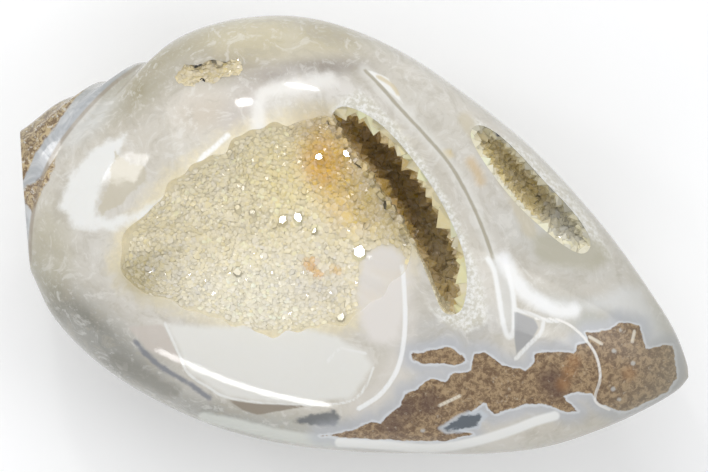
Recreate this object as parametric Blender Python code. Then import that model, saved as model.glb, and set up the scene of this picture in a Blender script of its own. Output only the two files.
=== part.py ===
"""Chalcedony gastropod fossil: a freshwater snail whose shell turned to chalcedony.

The spire points to -X and its end is ground flat. The opened face is polished and looks
up. Two hollows in the face, the main chamber and a chamber of the outer whorl, are each
lined by one crust of quartz crystals. The fossil lies on a small flat on its back.
Frame: +X along the coiling axis to the anterior tip, +Z up, origin at the middle of the base.
"""

import math
import random

import bmesh
import bpy
import numpy as np
from mathutils import Matrix, Vector

MM = 0.001

# Overall form, in mm
OUTLINE_LEFT = [  # (x, y) of the side towards +Y, from the apex to the anterior tip
    (-38.6, -1.0), (-35.8, 1.4), (-33.0, 5.4), (-30.0, 8.6), (-27.4, 10.9), (-25.2, 13.3),
    (-22.0, 16.4), (-18.0, 18.9), (-13.0, 20.7), (-7.5, 21.2), (-1.0, 20.4), (6.0, 18.3),
    (13.0, 15.6), (19.0, 12.4), (24.5, 8.9), (29.5, 5.1), (33.0, 2.1), (35.2, -0.6), (35.9, -2.1),
]
OUTLINE_RIGHT = [  # (x, y) of the side towards -Y, station by station with the other side
    (-38.6, -1.0), (-37.3, -3.6), (-34.8, -7.2), (-32.3, -10.2), (-30.0, -12.5), (-27.2, -15.4),
    (-23.0, -17.9), (-18.0, -19.7), (-13.0, -20.7), (-7.5, -21.2), (-1.0, -20.8), (6.0, -19.4),
    (13.0, -17.4), (19.0, -15.5), (24.5, -13.0), (29.5, -9.4), (33.0, -6.2), (35.2, -3.7), (35.9, -2.1),
]
EQUATOR = 17.2        # height of the widest line above the base
FACE_RISE = 0.56      # rise of the polished face above the equator, per half width
BACK_DROP = 0.86      # drop of the back below the equator, per half width
FACE_FULLNESS = 2.25  # superellipse exponent of the ground face; 2 is round
RINGS = 54
SEGMENTS = 44

# Suture: a log spiral of distance from the apex, tilted against the axis
APEX_X = -38.6
SUTURE_START = 9.0
SUTURE_GROWTH = 1.47
SUTURE_TILT_Y = 1.3
SUTURE_TILT_Z = -2.9
SUTURE_DEPTH = 0.085   # share of the radius
SUTURE_SPIRE_SIDE = 1.5
SUTURE_BODY_SIDE = 1.1
WHORLS_UP = 3

# Ground flats
SPIRE_CUT_POINT = (-33.4, -4.8)
SPIRE_CUT_NORMAL = (-0.928, -0.371)
REST_HEIGHT = 0.0

# Hollows: the rock wall, and the crust that lines it
CRUST_GAP = 0.3
DISH_CENTRE = (-7.6, -0.6)
DISH_RIM_RADII = [  # from +X, every 30 degrees anticlockwise
    13.6, 14.2, 14.9, 12.9, 11.6, 11.4, 13.6, 17.2, 12.3, 11.2, 11.0, 12.0,
]
DISH_RIM_HEIGHT = 26.6
DISH_TILT = 0.03
DISH_DEPTH = 5.2
DISH_HEADROOM = 8.0
PIT_CENTRE = (-18.3, -8.2)
PIT_DEPTH = 0.9
PIT_RADIUS = 3.0
SLIT_LINE = [
    (-6.2, 12.6), (-3.4, 11.6), (-0.9, 10.2), (1.8, 8.3), (4.3, 6.3), (6.5, 4.2), (8.5, 2.0),
    (10.0, -0.4), (11.2, -3.2),
]
SLIT_HALF_WIDTH = 3.9
SLIT_DEPTH = 13.5
SLIT_TOP = 27.5
OUTER_LINE = [(7.6, 15.6), (10.0, 14.1), (12.6, 12.4), (15.2, 10.8), (17.8, 9.5), (20.4, 8.2), (22.6, 7.0)]
OUTER_HALF_WIDTH = 2.9
OUTER_DEPTH = 8.0
OUTER_TOP = 24.5
SHOULDER_VUG_LINE = [(-22.4, 10.9), (-20.6, 12.0), (-18.6, 13.0), (-16.2, 14.3)]
SHOULDER_VUG_HALF_WIDTH = 1.1
SHOULDER_VUG_DEPTH = 2.4
SHOULDER_VUG_TOP = 25.2
SLIT_CRUST = 1.8
DISH_CRUST = 1.3
OUTER_CRUST = 1.5
DISH_CRYSTALS = 0.8       # height of the largest points
SLIT_CRYSTALS = 1.0
OUTER_CRYSTALS = 0.55
SHOULDER_CRYSTALS = 0.33
CRYSTAL_JITTER = 0.24

CHALCEDONY = (0.80, 0.77, 0.72)
DRUSE = (0.78, 0.68, 0.46)


def smooth_path(points, share):
    """Point at a share of the way along a Catmull-Rom curve through evenly weighted points."""
    points = np.asarray(points, float)
    last = len(points) - 1
    place = min(max(share, 0.0), 1.0) * last
    i = min(int(place), last - 1)
    t = place - i
    before, a, b, after = points[max(i - 1, 0)], points[i], points[i + 1], points[min(i + 2, last)]
    return 0.5 * (
        2 * a + (b - before) * t + (2 * before - 5 * a + 4 * b - after) * t**2
        + (3 * a - before - 3 * b + after) * t**3
    )


def rim_radius(radii, angle):
    """Radius of a closed rim at an angle, a smooth periodic curve through its radii."""
    count = len(radii)
    place = (angle / math.tau) % 1.0 * count
    i = int(place)
    t = place - i
    before, a, b, after = (radii[(i + k) % count] for k in (-1, 0, 1, 2))
    return 0.5 * (
        2 * a + (b - before) * t + (2 * before - 5 * a + 4 * b - after) * t**2
        + (3 * a - before - 3 * b + after) * t**3
    )


def suture_groove(x, angle):
    """Share of the radius that the spiral suture takes away at axial place x and angle."""
    turn = ((math.pi - angle) / math.tau) % 1.0
    tilt = SUTURE_TILT_Y * math.cos(angle) + SUTURE_TILT_Z * math.sin(angle)
    groove = 0.0
    for whorl in range(WHORLS_UP):
        suture = SUTURE_START * SUTURE_GROWTH ** (turn - whorl) + tilt
        off = x - APEX_X - suture
        width = SUTURE_BODY_SIDE if off > 0 else SUTURE_SPIRE_SIDE
        fade = min(1.0, (1.0 - turn) / 0.25) if whorl == 0 else 1.0
        groove = max(groove, fade * math.exp(-((off / width) ** 2)))
    return SUTURE_DEPTH * groove


def body_point(share, angle, inset=0.0):
    """Point of the shell: share runs from the apex to the tip, angle from +Y over the top."""
    left = smooth_path(OUTLINE_LEFT, share)
    right = smooth_path(OUTLINE_RIGHT, share)
    centre = (left + right) / 2
    across = (left - right) / 2
    half_width = float(np.hypot(*across))
    power = 2 / FACE_FULLNESS if math.sin(angle) > 0 else 1.0
    rise = FACE_RISE if math.sin(angle) > 0 else BACK_DROP
    side = math.copysign(abs(math.cos(angle)) ** power, math.cos(angle))
    up = math.copysign(abs(math.sin(angle)) ** power, math.sin(angle))
    scale = (1 - suture_groove(centre[0], angle)) * (1 - inset / max(half_width, inset + 0.01))
    plan = centre + across * side * scale
    return Vector((plan[0], plan[1], EQUATOR + rise * half_width * up * scale))


def new_object(name, bm, collection):
    """Mesh object from a bmesh, in metres."""
    bmesh.ops.recalc_face_normals(bm, faces=bm.faces)
    mesh = bpy.data.meshes.new(name)
    bm.transform(Matrix.Scale(MM, 4))
    bm.to_mesh(mesh)
    bm.free()
    obj = bpy.data.objects.new(name, mesh)
    collection.objects.link(obj)
    return obj


def body(name, collection, inset=0.0):
    """Closed shell body: a sphere whose rings become the cross-sections of the whorls."""
    bm = bmesh.new()
    bmesh.ops.create_uvsphere(bm, u_segments=SEGMENTS, v_segments=RINGS, radius=1.0)
    for vertex in bm.verts:
        x, y, z = vertex.co
        share = math.acos(max(-1.0, min(1.0, z))) / math.pi
        vertex.co = body_point(share, math.atan2(y, x), inset)
    return new_object(name, bm, collection)


def grow_crystals(bm, height, jitter, seed):
    """Turns a closed triangle mesh into a field of six-sided points that reach inwards.

    Each corner becomes a point: the faces are poked, and the old edges turned, so that
    every old corner ends at the middle of a six-sided cell.
    """
    rng = random.Random(seed)
    points = list(bm.verts)
    old_edges = list(bm.edges)
    bmesh.ops.poke(bm, faces=bm.faces)
    bmesh.ops.rotate_edges(bm, edges=old_edges)
    bm.normal_update()
    moved = {}
    for vertex in points:
        side = Vector([rng.uniform(-1, 1) for _ in range(3)]) * jitter
        moved[vertex] = vertex.co - vertex.normal * height * rng.uniform(0.45, 1.0) + side
    for vertex, place in moved.items():
        vertex.co = place


def dish(name, collection, shrink, detail, crystals=0.0):
    """Closed form of the broad main chamber: a squashed sphere with an uneven rim."""
    bm = bmesh.new()
    bmesh.ops.create_icosphere(bm, subdivisions=detail, radius=1.0)
    for vertex in bm.verts:
        x, y, z = vertex.co
        radius = rim_radius(DISH_RIM_RADII, math.atan2(y, x)) - shrink
        plan = Vector(DISH_CENTRE) + Vector((x, y)) * radius
        height = DISH_RIM_HEIGHT - DISH_TILT * plan.x
        height += (DISH_HEADROOM if z > 0 else DISH_DEPTH - shrink) * z
        off = (plan - Vector(PIT_CENTRE)).length / PIT_RADIUS
        if z < 0:
            height -= PIT_DEPTH * math.exp(-(off**2)) * min(1.0, -3 * z)
        vertex.co = Vector((plan.x, plan.y, height))
    if crystals:
        bmesh.ops.recalc_face_normals(bm, faces=bm.faces)
        grow_crystals(bm, crystals, CRYSTAL_JITTER, seed=11)
    return new_object(name, bm, collection)


def trench(name, collection, line, half_width, depth, top, shrink, detail, crystals=0.0):
    """Closed form of a narrow chamber: a sphere drawn out along a curved line."""
    bm = bmesh.new()
    bmesh.ops.create_icosphere(bm, subdivisions=detail, radius=1.0)
    for vertex in bm.verts:
        x, y, z = vertex.co
        share = (x + 1) / 2
        place = smooth_path(line, share)
        ahead = smooth_path(line, share + 0.02) - smooth_path(line, share - 0.02)
        normal = Vector((-ahead[1], ahead[0])).normalized()
        fuller = ((1 - x**6) / (1 - x**2)) ** 0.25 if abs(x) < 0.99 else 1.2
        plan = Vector(place) + normal * y * fuller * (half_width - shrink)
        drop = (half_width if z > 0 else depth - shrink) * z
        vertex.co = Vector((plan.x, plan.y, top + drop))
    if crystals:
        bmesh.ops.recalc_face_normals(bm, faces=bm.faces)
        grow_crystals(bm, crystals, CRYSTAL_JITTER, seed=23)
    return new_object(name, bm, collection)


def half_space(name, collection, point, normal):
    """Large block whose one face is a ground flat, used to cut it."""
    size = 60.0
    bm = bmesh.new()
    turn = Vector((0, 0, 1)).rotation_difference(Vector(normal))
    place = Matrix.Translation(Vector(point)) @ turn.to_matrix().to_4x4()
    bmesh.ops.create_cube(bm, size=size, matrix=place @ Matrix.Translation((0, 0, size / 2)))
    return new_object(name, bm, collection)


def combine(target, tool, operation):
    """Applies one exact Boolean of a tool to a target."""
    modifier = target.modifiers.new(operation.lower(), "BOOLEAN")
    modifier.operation = operation
    modifier.solver = "EXACT"
    modifier.use_self = True
    modifier.object = tool
    graph = bpy.context.evaluated_depsgraph_get()
    mesh = bpy.data.meshes.new_from_object(target.evaluated_get(graph))
    target.modifiers.clear()
    target.data = mesh


def keep_largest_piece(obj):
    """Drops the chips that a Boolean leaves beside the main piece."""
    bm = bmesh.new()
    bm.from_mesh(obj.data)
    bmesh.ops.remove_doubles(bm, verts=bm.verts, dist=1e-6)
    left = set(bm.verts)
    largest = []
    while left:
        piece = []
        front = [left.pop()]
        while front:
            vertex = front.pop()
            piece.append(vertex)
            for edge in vertex.link_edges:
                other = edge.other_vert(vertex)
                if other in left:
                    left.remove(other)
                    front.append(other)
        if len(piece) > len(largest):
            largest = piece
    kept = set(largest)
    bmesh.ops.delete(bm, geom=[v for v in bm.verts if v not in kept], context="VERTS")
    bm.to_mesh(obj.data)
    bm.free()


def finish(obj, name, colour, roughness, smooth):
    """Names the finished object and gives it its material."""
    material = bpy.data.materials.new(name)
    material.use_nodes = True
    shader = material.node_tree.nodes["Principled BSDF"]
    shader.inputs["Base Color"].default_value = (*colour, 1.0)
    shader.inputs["Roughness"].default_value = roughness
    shader.inputs["Metallic"].default_value = 0.0
    material.diffuse_color = (*colour, 1.0)
    obj.data.materials.clear()
    obj.data.materials.append(material)
    if smooth:
        obj.data.shade_smooth()
        obj.data.set_sharp_from_angle(angle=math.radians(30))


def hide_tools(tools):
    """Keeps the cutters in the file as guides that no render or build reads."""
    for obj in tools.objects:
        obj.hide_render = True
        obj.display_type = "WIRE"


def build_shell(parts, tools, flats):
    """The chalcedony body with its ground flats and open hollows."""
    shell = body("chalcedony_shell", parts)
    for flat in flats:
        combine(shell, flat, "DIFFERENCE")
    hollows = [
        dish("main_hollow", tools, 0.0, 3),
        trench("slit_hollow", tools, SLIT_LINE, SLIT_HALF_WIDTH, SLIT_DEPTH, SLIT_TOP, 0.0, 2),
        trench("outer_hollow", tools, OUTER_LINE, OUTER_HALF_WIDTH, OUTER_DEPTH, OUTER_TOP, 0.0, 2),
        trench("shoulder_vug", tools, SHOULDER_VUG_LINE, SHOULDER_VUG_HALF_WIDTH,
               SHOULDER_VUG_DEPTH, SHOULDER_VUG_TOP, 0.0, 2, crystals=SHOULDER_CRYSTALS),
    ]
    for hollow in hollows:
        combine(shell, hollow, "DIFFERENCE")
    keep_largest_piece(shell)
    finish(shell, "chalcedony", CHALCEDONY, 0.12, smooth=True)


def build_main_crust(parts, tools, skin):
    """The one crust of crystals in the main chamber, through its dish and its slit."""
    crust = dish("main_hollow_crystals", parts, CRUST_GAP, 3)
    slit_wall = trench("slit_wall", tools, SLIT_LINE, SLIT_HALF_WIDTH, SLIT_DEPTH, SLIT_TOP,
                       CRUST_GAP, 2)
    combine(crust, slit_wall, "UNION")
    combine(crust, skin, "INTERSECT")
    dish_void = dish("dish_void", tools, DISH_CRUST, 4, crystals=DISH_CRYSTALS)
    slit_void = trench("slit_void", tools, SLIT_LINE, SLIT_HALF_WIDTH, SLIT_DEPTH, SLIT_TOP,
                       SLIT_CRUST, 3, crystals=SLIT_CRYSTALS)
    combine(crust, dish_void, "DIFFERENCE")
    combine(crust, slit_void, "DIFFERENCE")
    keep_largest_piece(crust)
    finish(crust, "druse", DRUSE, 0.18, smooth=False)


def build_outer_crust(parts, tools, skin):
    """The one crust of crystals in the chamber of the outer whorl."""
    crust = trench("outer_hollow_crystals", parts, OUTER_LINE, OUTER_HALF_WIDTH, OUTER_DEPTH,
                   OUTER_TOP, CRUST_GAP, 2)
    combine(crust, skin, "INTERSECT")
    void = trench("outer_void", tools, OUTER_LINE, OUTER_HALF_WIDTH, OUTER_DEPTH, OUTER_TOP,
                  OUTER_CRUST, 3, crystals=OUTER_CRYSTALS)
    combine(crust, void, "DIFFERENCE")
    keep_largest_piece(crust)
    finish(crust, "outer_druse", DRUSE, 0.18, smooth=False)


def main():
    for obj in list(bpy.data.objects):
        bpy.data.objects.remove(obj, do_unlink=True)
    parts = bpy.data.collections.new("chalcedony_gastropod_fossil")
    tools = bpy.data.collections.new("cutters")
    for collection in (parts, tools):
        bpy.context.scene.collection.children.link(collection)
    flats = [
        half_space("spire_cut", tools, (*SPIRE_CUT_POINT, EQUATOR), (*SPIRE_CUT_NORMAL, 0.0)),
        half_space("rest_cut", tools, (0.0, 0.0, REST_HEIGHT), (0.0, 0.0, -1.0)),
    ]
    skin = body("skin_inside", tools, inset=0.1)
    build_shell(parts, tools, flats)
    build_main_crust(parts, tools, skin)
    build_outer_crust(parts, tools, skin)
    hide_tools(tools)


main()
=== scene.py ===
"""Looks of the chalcedony gastropod fossil: polished shell, crystals, colour zones, light, camera.

Lengths are in mm in the frame of the model: +X from the spire to the anterior tip, +Z out of
the polished face. Everything becomes metres when a mesh is made.
"""
import math

import bmesh
import bpy
import numpy as np
from mathutils import Matrix, Vector
from mathutils.bvhtree import BVHTree


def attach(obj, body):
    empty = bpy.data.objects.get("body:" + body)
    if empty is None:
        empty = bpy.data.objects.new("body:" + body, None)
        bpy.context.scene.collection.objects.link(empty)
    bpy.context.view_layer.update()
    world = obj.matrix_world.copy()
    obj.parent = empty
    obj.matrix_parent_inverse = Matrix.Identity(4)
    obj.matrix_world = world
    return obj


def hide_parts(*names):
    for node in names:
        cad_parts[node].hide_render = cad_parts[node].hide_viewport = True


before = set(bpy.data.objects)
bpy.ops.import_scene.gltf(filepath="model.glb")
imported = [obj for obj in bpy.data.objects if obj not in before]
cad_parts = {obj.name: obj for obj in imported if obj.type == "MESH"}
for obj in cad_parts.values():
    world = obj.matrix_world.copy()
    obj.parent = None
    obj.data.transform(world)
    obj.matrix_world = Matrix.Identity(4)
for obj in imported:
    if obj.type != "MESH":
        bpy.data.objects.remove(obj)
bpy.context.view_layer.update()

MM = 0.001

# Form of the shell
OUTLINE_LEFT = [
    (-38.6, -1.0), (-35.8, 1.4), (-33.0, 5.4), (-30.0, 8.6), (-27.4, 10.9), (-25.2, 13.3),
    (-22.0, 16.4), (-18.0, 18.9), (-13.0, 20.7), (-7.5, 21.2), (-1.0, 20.4), (6.0, 18.3),
    (13.0, 15.6), (19.0, 12.4), (24.5, 8.9), (29.5, 5.1), (33.0, 2.1), (35.2, -0.6), (35.9, -2.1),
]
OUTLINE_RIGHT = [
    (-38.6, -1.0), (-37.3, -3.6), (-34.8, -7.2), (-32.3, -10.2), (-30.0, -12.5), (-27.2, -15.4),
    (-23.0, -17.9), (-18.0, -19.7), (-13.0, -20.7), (-7.5, -21.2), (-1.0, -20.8), (6.0, -19.4),
    (13.0, -17.4), (19.0, -15.5), (24.5, -13.0), (29.5, -9.4), (33.0, -6.2), (35.2, -3.7), (35.9, -2.1),
]
EQUATOR = 17.2
FACE_RISE = 0.56
BACK_DROP = 0.86
FACE_FULLNESS = 2.25
SHELL_RINGS = 290
SHELL_SEGMENTS = 260
FACE_SHARE = 0.68         # share of the segments that lie on the polished face
OUTLINE_STEPS = 2001      # steps in which the outline's length is measured
SHARP_ANGLE = 35          # degrees, edges of the cuts steeper than this stay crisp
APEX_X = -38.6
SUTURE_START = 9.0
SUTURE_GROWTH = 1.47
SUTURE_TILT_Y = 1.3
SUTURE_TILT_Z = -2.9
SUTURE_DEPTH = 0.085
SUTURE_SPIRE_SIDE = 1.5
SUTURE_BODY_SIDE = 1.1
WHORLS_UP = 3
SPIRE_CUT_POINT = (-33.4, -4.8)
SPIRE_CUT_NORMAL = (-0.928, -0.371)

# Hollows: the walls that the crystals stand on
DISH_CENTRE = (-7.6, -0.6)
DISH_RIM_RADII = [
    13.6, 14.2, 14.9, 12.9, 11.6, 11.4, 13.6, 17.2, 12.3, 11.2, 11.0, 12.0,
]
DISH_RIM_HEIGHT = 26.6
DISH_TILT = 0.03
DISH_DEPTH = 5.2
DISH_HEADROOM = 8.0
DISH_WALL = 0.9
BOWL_POWER = 1.8          # 1 for a half ellipsoid, 2 for a bowl that grades into the face
RIM_LIFT = 0.1            # how far above the face the bowls begin
DISH_RAGGED = [(0.25, 9, 1), (0.2, 17, 0), (0.15, 29, 2)]  # size, waves round the rim, phase
PIT_CENTRE = (-18.3, -8.2)
PIT_DEPTH = 0.9
PIT_RADIUS = 3.0
SLIT_LINE = [
    (-6.2, 12.6), (-3.4, 11.6), (-0.9, 10.2), (1.8, 8.3), (4.3, 6.3), (6.5, 4.2), (8.5, 2.0),
    (10.0, -0.4), (11.2, -3.2),
]
SLIT_HALF_WIDTH = 3.9
SLIT_DEPTH = 13.5
SLIT_TOP = 27.5
SLIT_WALL = 1.6
OUTER_LINE = [(7.6, 15.6), (10.0, 14.1), (12.6, 12.4), (15.2, 10.8), (17.8, 9.5), (20.4, 8.2), (22.6, 7.0)]
OUTER_HALF_WIDTH = 2.9
OUTER_DEPTH = 8.0
OUTER_TOP = 24.5
OUTER_WALL = 1.0
SHOULDER_LINE = [(-22.4, 10.9), (-20.6, 12.0), (-18.6, 13.0), (-16.2, 14.3)]
SHOULDER_HALF_WIDTH = 1.1
SHOULDER_DEPTH = 1.1
SHOULDER_TOP = 25.2
SHOULDER_SWELL = 0.25
SHOULDER_SHIFT = 0.12
SHOULDER_WAVES = (9, 31)  # along the shoulder hollow
TANGENT_STEP = 0.02       # share of a trench's line, ahead and back, that gives its heading
TRENCH_END = 0.99         # past this share of its half length a trench's fullness is constant
END_FULLNESS = 1.2
DISH_DETAIL = 6           # subdivisions of the cutters
TRENCH_DETAIL = 5
SHOULDER_DETAIL = 4

# Grid on which the height of the face is kept
GRID_STEP = 0.4
GRID_CORNER = (-37.0, -22.0)
GRID_COUNT = (186, 111)
RAY_START = 60.0

# Crystals: spacing by place, and how they stand
DISH_CRYSTAL = 0.32
SLOPE_CRYSTAL = 0.62
SLOPE_CENTRE = (1.0, 6.0)
SLOPE_RADIUS = 6.0
SLIT_CRYSTAL = 0.75
RIM_CRYSTAL = 1.10
OUTER_CRYSTAL = 0.62
RIM_FADE = 2.6            # crystals thin out over this distance from the dish's rim
SHOULDER_COVER = 0.6     # share of the shoulder hollow that crystals cover
HOLLOW_FLOOR = 11.0       # all hollows end above this height
WALL_GAP = 0.03           # vertices further than this from the uncut shell are on a wall
SEED = 5
SAMPLES = 110000          # places tried on the walls
SLIT_FLOOR = 5.0          # below this depth every point near the slit's line is in the slit
OUTER_MARGIN = 0.5        # crystals of the outer hollow reach this far past its half width
SPACING_RANGE = (0.7, 1.35)
HEIGHT_RANGE = (0.6, 1.3)
STEEP = 1.0               # height over spacing in the slit and the outer hollow
GENTLE = 0.36             # the same in the dish
WIDTH = 1.05              # radius over spacing
ROOT = 0.45               # how deep a crystal stands in the wall
ROOT_WIDTH = 0.95
TILT = 0.22
TIP_LEAN = 0.30
CORNER_RANGE = 0.15       # share of the height within which the tip's facets begin
CORNER_STEP = 0.16
CORNER_NOISE = 0.1
FLUSH = 0.004             # crystals end this far below the polished face
GLINT_WIDTH = 0.6
GLINT_RANGE = (0.55, 1.15)
GLINT_HEIGHT = 0.45
GLINT_FLOOR = 18.0        # glints lie above this height
WALL_LIFT = 0.8           # how far the shading of a steep wall is turned upward
SLAB_EDGE = -0.3          # crystals stop this far outside the slab's outline

# Edges of the colour zones on the polished face
SEDIMENT = [
    (2.2, -18.8), (4.4, -17.7), (5.6, -16.9), (6.7, -15.8), (7.6, -15.8), (7.9, -14.9), (9.0, -13.4),
    (9.0, -12.2), (10.0, -11.4), (11.0, -9.9), (12.5, -9.8), (13.0, -8.8), (14.7, -7.9), (14.4, -6.2),
    (15.4, -5.8), (17.5, -6.4), (19.9, -6.3), (20.5, -5.2), (20.2, -4.4), (22.4, -3.6), (24.0, -3.2),
    (24.0, -2.3), (25.1, -1.8), (24.5, -0.9), (26.7, 0.1), (27.5, 1.2), (29.5, 1.4), (30.9, -0.6),
    (32.0, 0.0), (33.4, 0.6), (34.1, -0.9), (34.8, -2.6), (34.2, -4.2), (32.0, -6.4), (30.3, -7.6),
    (27.7, -7.2), (27.0, -6.6), (25.4, -6.9), (24.3, -7.7), (26.2, -8.7), (25.2, -9.2), (22.9, -9.0),
    (20.9, -9.6), (18.1, -11.6), (17.0, -10.6), (15.7, -12.2), (13.7, -14.3), (16.9, -14.0),
    (14.2, -15.7), (8.1, -17.4), (4.6, -18.3),
]
SEDIMENT_ISLAND = [
    (8.4, -8.1), (9.4, -7.7), (11.3, -6.6), (12.1, -6.4), (13.5, -6.8), (13.9, -7.3), (13.0, -7.9),
    (11.6, -8.2), (9.8, -8.9), (8.8, -8.7),
]
WALL = [
    (-4.5, 17.5), (-2.6, 16.5), (0.0, 14.9), (3.2, 13.1), (6.5, 11.0), (9.4, 8.3), (11.9, 5.4), (13.8, 2.8),
]
SUTURE = [
    (-30.9, -10.9), (-31.8, -7.3), (-32.2, -3.3), (-31.7, 0.6), (-30.3, 4.6), (-28.4, 8.4), (-26.4, 11.2),
]
SPIRE_EDGE = [(-33.8, -3.2), (-33.4, -0.4), (-32.3, 3.0), (-31.2, 6.3), (-29.8, 8.6), (-28.2, 10.4)]
GOLD_PATCH = [
    (-33.2, -5.5), (-33.7, -4.1), (-32.9, -3.2), (-32.1, -2.2), (-31.5, 0.4), (-31.3, -1.0),
    (-31.7, -3.5), (-32.1, -6.1),
]
# Painted highlight: a near-white patch laid into the colour of the left whorl where a lamp's glare falls
HIGHLIGHT_PATCH = [
    (-29.9, -4.7), (-29.6, -1.8), (-28.6, 1.3), (-26.9, 3.3), (-25.2, 4.3), (-25.2, 2.4), (-25.6, 0.2),
    (-26.2, -2.4), (-25.7, -4.3), (-24.4, -4.3), (-22.2, -2.9), (-20.6, -1.2), (-18.7, 1.0), (-17.2, 2.8),
    (-15.5, 4.8), (-14.1, 6.5), (-13.0, 6.2), (-14.8, 3.6), (-17.5, 0.4), (-19.3, -2.0), (-21.4, -3.8),
    (-23.9, -5.6), (-27.4, -6.3),
]
SPIKE = [(-17.7, 1.6), (-17.4, 4.1), (-16.7, 5.3), (-15.6, 7.1)]
BEIGE_PATCH = [
    (-25.8, 2.2), (-24.2, 1.5), (-22.6, 1.8), (-21.9, 0.5), (-23.2, -1.6), (-24.1, -3.3), (-25.2, -4.3),
    (-25.9, -3.6), (-25.8, -2.4), (-25.5, -1.1), (-25.7, 0.3),
]
# Painted reflection: the pale lens-shaped zone between the dish and the lower rim is a softbox's image on the
# polished face, laid into the colour; its lower rim gets a painted highlight line
SOFTBOX_REFLECTION = [
    (-16.0, -12.6), (-13.6, -15.3), (-12.2, -16.8), (-9.8, -17.5), (-8.0, -17.9), (-5.0, -17.5),
    (-1.6, -16.7), (4.2, -14.4), (5.3, -10.6), (4.1, -9.5), (0.9, -8.6), (-4.1, -8.9), (-10.6, -11.2),
]
SIDE_FACET = [(-19.5, -14.1), (-16.1, -12.7), (-12.8, -16.3), (-14.6, -16.1), (-17.1, -15.7)]
# Painted highlight: small folded glare lines beside the softbox reflection
CHEVRON_HIGHLIGHT = [(0.7, -11.4), (1.4, -9.9), (2.4, -9.7), (4.1, -9.5)]
BROWN_LENS = [(-7.8, -18.1), (-4.9, -17.6), (0.6, -16.1), (-2.3, -17.6), (-4.4, -18.7), (-6.0, -18.7)]
POCKET = [(-1.1, -18.4), (0.4, -17.2), (2.9, -15.8), (3.7, -16.4), (3.5, -17.5), (1.2, -18.1)]
SMEAR = [(-19.4, -17.6), (-17.3, -18.2), (-15.2, -18.7), (-13.2, -19.0)]
DARK_LINE = [(-18.2, -15.3), (-16.7, -16.3), (-14.2, -17.2), (-11.9, -17.7), (-9.5, -18.5)]
# Painted reflection: line of a thin bright bar of lamp glare, laid into the colour as a layer and again over
# the slab tint
REFLECTION_BAR = [(4.9, -0.1), (5.5, -1.4), (7.0, -5.7), (7.6, -9.6), (6.8, -12.8), (5.1, -15.0)]
FINGER = [
    (12.9, 3.2), (13.8, 2.3), (15.1, -0.1), (16.2, -2.3), (17.0, -3.5), (17.5, -3.5), (17.4, -2.3),
    (16.7, -0.2), (15.8, 1.6), (14.5, 3.8),
]
PANEL = [(16.9, -0.9), (19.2, -1.1), (19.9, -1.8), (19.6, -3.3), (18.5, -5.2), (17.8, -3.7)]
VEIN = [(20.1, -1.1), (20.2, -2.3), (19.4, -3.8), (18.6, -5.5)]
VEIN_ACROSS = [(17.0, -0.8), (18.7, -0.8), (20.4, -0.9), (21.6, -0.6)]
# Painted highlight: a bright line and a pale wedge toward the anterior tip, laid into the colour where a
# lamp's glare falls
HIGHLIGHT_LINE = [(14.3, 3.7), (15.7, 2.5), (17.2, 1.2), (19.1, 0.6), (21.3, 0.3), (22.7, 0.8)]
HIGHLIGHT_WEDGE = [
    (16.9, 2.0), (19.7, 1.4), (23.3, 2.1), (26.7, 5.1), (28.7, 5.5), (32.6, 1.2), (31.2, -0.3),
    (29.0, 1.8), (25.6, 1.5), (22.6, 0.9), (19.7, -0.1),
]
ARC = [
    (19.2, -1.1), (21.6, -0.5), (23.4, -0.9), (24.9, -1.7), (26.3, -2.9), (27.3, -4.8), (27.5, -7.1),
    (29.2, -7.6),
]
# Painted reflection: a bright curved streak along the lower rim where a strip light shows on the polished
# face
STRIP_REFLECTION = [
    (4.3, -18.9), (8.2, -17.9), (13.2, -16.7), (16.9, -14.9), (20.3, -12.6), (22.3, -11.0), (24.1, -9.8),
]
EDGE_BAND = [(-9.4, -20.6), (-5.0, -20.2), (-1.0, -19.9), (4.3, -18.9)]
BLUE_POCKET = [
    (13.4, -14.5), (14.4, -13.1), (15.6, -12.1), (16.9, -11.5), (17.6, -11.8), (17.2, -13.1),
    (15.6, -14.2), (14.3, -14.7),
]
NEEDLES = [[(12.7, -12.3), (14.4, -10.7)], [(25.0, -1.2), (26.4, -1.5)], [(29.3, -0.4), (29.2, 0.7)]]
INCLUSIONS = [
    (28.9, -5.5), (29.8, -6.3), (30.0, -2.4), (27.8, -1.8), (27.8, 0.4), (8.4, -11.2), (11.9, -15.2),
]
DARK_MUD = [(9.5, -13.6), (8.8, -15.5), (22.6, -6.5), (23.4, -7.1), (11.6, -12.3)]
RUST = [(24.1, -5.1), (23.9, -6.5), (24.2, -4.0), (30.0, -3.5)]
SLIT_BAND = [
    (-6.6, 12.4), (-5.9, 14.1), (-4.8, 15.5), (-3.0, 15.1), (-0.7, 13.9), (2.2, 11.8), (5.0, 9.8),
    (7.5, 7.7), (10.2, 4.8), (12.4, 1.9), (14.1, -0.8), (14.8, -2.8), (13.2, -4.6), (10.6, -4.4),
    (8.4, -3.0), (10.4, -2.6), (11.0, -0.4), (9.6, 2.2), (7.4, 4.8), (4.8, 7.0), (2.0, 9.4), (-1.2, 11.4),
]
OUTER_WHITE = [
    (6.9, 16.4), (8.8, 15.9), (11.4, 15.4), (14.2, 14.6), (16.8, 13.3), (19.4, 12.0), (22.1, 10.0),
    (24.0, 8.3), (25.0, 6.9), (23.5, 6.9), (21.3, 8.5), (19.6, 8.4), (18.0, 9.4), (16.0, 10.6),
    (14.0, 11.8), (11.8, 12.9), (9.6, 14.2), (7.8, 15.4),
]
OUTER_LOW = [
    (16.2, 7.1), (19.4, 8.3), (21.5, 8.6), (23.8, 8.2), (24.9, 6.6), (23.6, 5.2), (20.5, 4.4),
    (17.9, 4.2), (16.7, 5.4),
]
OUTER_YELLOW = [(6.6, 15.9), (8.8, 14.0), (10.9, 12.4), (13.2, 10.4), (14.9, 8.4), (16.2, 7.1)]
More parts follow.
